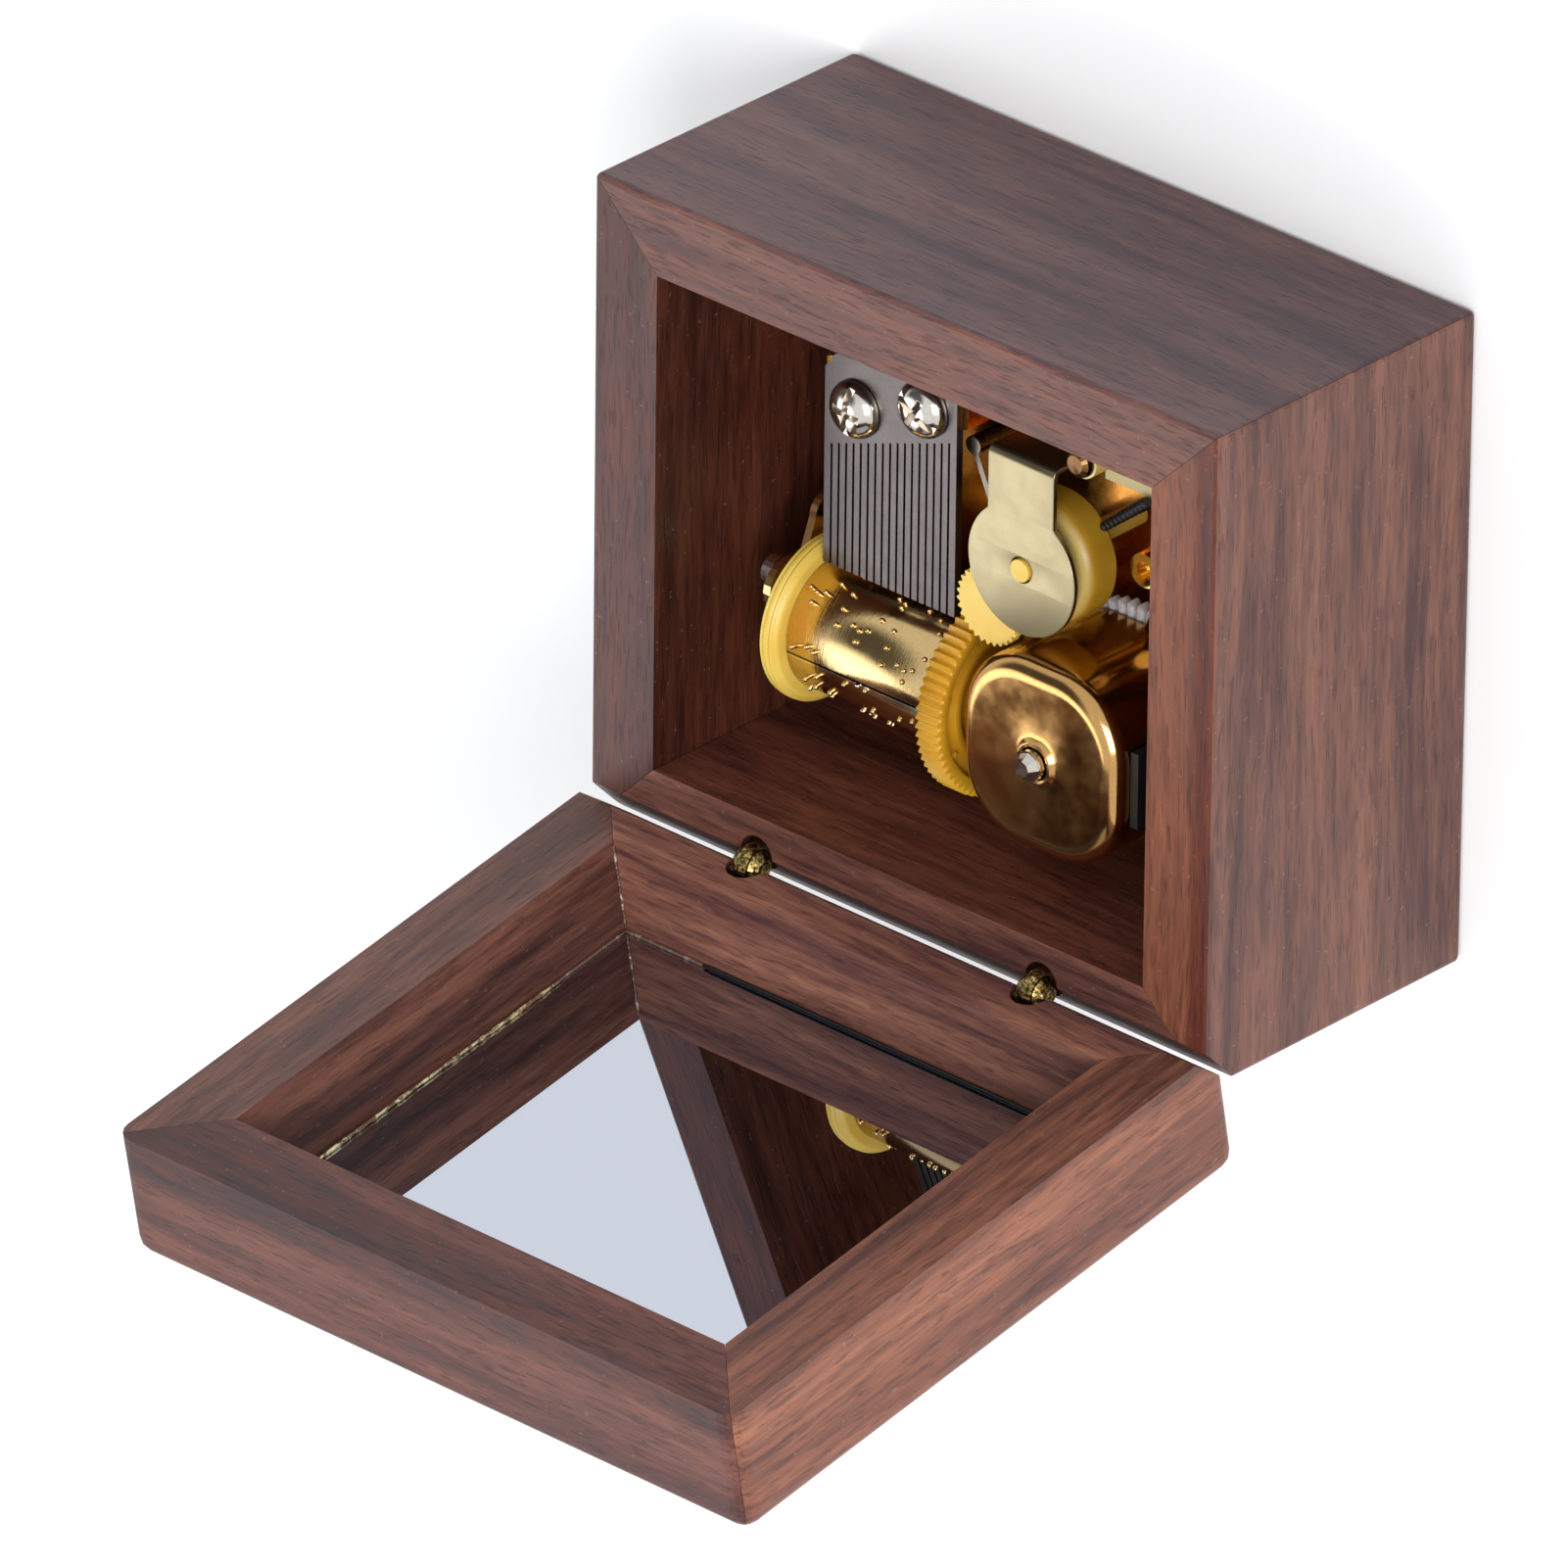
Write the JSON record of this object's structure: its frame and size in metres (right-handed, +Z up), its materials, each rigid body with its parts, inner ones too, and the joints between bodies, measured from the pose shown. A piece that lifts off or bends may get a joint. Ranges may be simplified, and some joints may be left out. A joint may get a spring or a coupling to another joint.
{
  "type": "music box",
  "caption": "Wooden music box with a mirror-lined lid on two barrel hinges and a wind-up movement: pinned cylinder, steel comb, spring housing and geared governor.",
  "frame": {"origin": "the middle of the front wall's underside", "axes": "+X along the hinge to the left seen from the hinge side, +Y towards the hinge side, +Z up; the lid rests open"},
  "size_m": [0.076, 0.0874, 0.0973],
  "materials": {
    "walnut": "oiled, satin",
    "plywood": "bare",
    "mirror_glass": "polished",
    "gold_metal": "bright plated",
    "cylinder_brass": "brushed round",
    "antique_brass": "dark lacquered",
    "steel": "ground",
    "nickel": "polished",
    "yellow_plastic": "moulded",
    "white_plastic": "moulded",
    "black_plastic": "moulded"
  },
  "bodies": {
    "case": {"wall_front": "walnut", "wall_back": "walnut", "wall_left": "walnut", "wall_right": "walnut", "base_panel": "plywood", "hinge_barrel_body_left": "antique_brass", "hinge_barrel_body_right": "antique_brass", "hinge_pin_left": "antique_brass", "hinge_pin_right": "antique_brass", "bedplate": "gold_metal", "comb": "steel", "comb_screw_left": "nickel", "comb_screw_right": "nickel", "mounting_screw_1": "nickel", "mounting_screw_2": "nickel", "mounting_screw_3": "nickel", "bearing_bracket_left": "gold_metal", "bearing_bracket_right": "gold_metal", "bearing_screw": "nickel", "spring_housing": "gold_metal", "housing_rivet_1": "gold_metal", "housing_rivet_2": "gold_metal", "housing_rivet_3": "gold_metal", "mainspring": "steel", "click_plate": "black_plastic", "governor_bracket": "gold_metal", "governor_drum": "yellow_plastic", "governor_platform": "yellow_plastic", "platform_screw": "antique_brass", "governor_pillar": "gold_metal", "governor_set_screw": "black_plastic"},
    "lid": {"lid_rail_front": "walnut", "lid_rail_back": "walnut", "lid_rail_left": "walnut", "lid_rail_right": "walnut", "lid_panel": "walnut", "lid_mirror": "mirror_glass", "hinge_barrel_lid_left": "antique_brass", "hinge_barrel_lid_right": "antique_brass"},
    "cylinder": {"cylinder": "cylinder_brass", "cylinder_end_ring": "yellow_plastic", "cylinder_gear": "yellow_plastic", "cylinder_arbor": "steel"},
    "drive": {"drive_gear": "white_plastic"},
    "winder": {"winding_shaft": "steel", "winding_key": "gold_metal"},
    "first_wheel": {"first_gear": "yellow_plastic"},
    "governor": {"governor_arbor": "yellow_plastic", "governor_fly": "white_plastic"},
    "stop": {"stop_lever": "steel"}
  },
  "joints": [
    {"name": "lid_hinge", "type": "hinge", "parent": "case", "child": "lid", "pos_m": [0, 0.0592, 0.0352], "axis": [1, 0, 0], "range_deg": [0, 100.7]},
    {"name": "cylinder_spin", "type": "hinge", "parent": "case", "child": "cylinder", "pos_m": [0, 0.0403, 0.0212], "axis": [1, 0, 0], "continuous": true},
    {"name": "drive_gear_spin", "type": "hinge", "parent": "case", "child": "drive", "pos_m": [-0.0134, 0.0392, 0.0165], "axis": [0, 0, 1], "continuous": true},
    {"name": "first_gear_spin", "type": "hinge", "parent": "case", "child": "first_wheel", "pos_m": [-0.0045, 0.0277, 0.02], "axis": [0, 0, 1], "continuous": true},
    {"name": "governor_spin", "type": "hinge", "parent": "case", "child": "governor", "pos_m": [-0.0092, 0.022, 0.02], "axis": [0, 0, 1], "continuous": true},
    {"name": "key_wind", "type": "hinge", "parent": "case", "child": "winder", "pos_m": [-0.0134, 0.0392, 0.005], "axis": [0, 0, 1], "continuous": true},
    {"name": "stop_swing", "type": "hinge", "parent": "case", "child": "stop", "pos_m": [0.0028, 0.01607, 0.019], "axis": [0, 0, 1], "range_deg": [0, 8]}
  ],
  "couplings": [
    {"joint": "drive_gear_spin", "follows": "cylinder_spin", "ratio": -0.90909},
    {"joint": "first_gear_spin", "follows": "cylinder_spin", "ratio": 3.3333},
    {"joint": "governor_spin", "follows": "cylinder_spin", "ratio": -4}
  ]
}
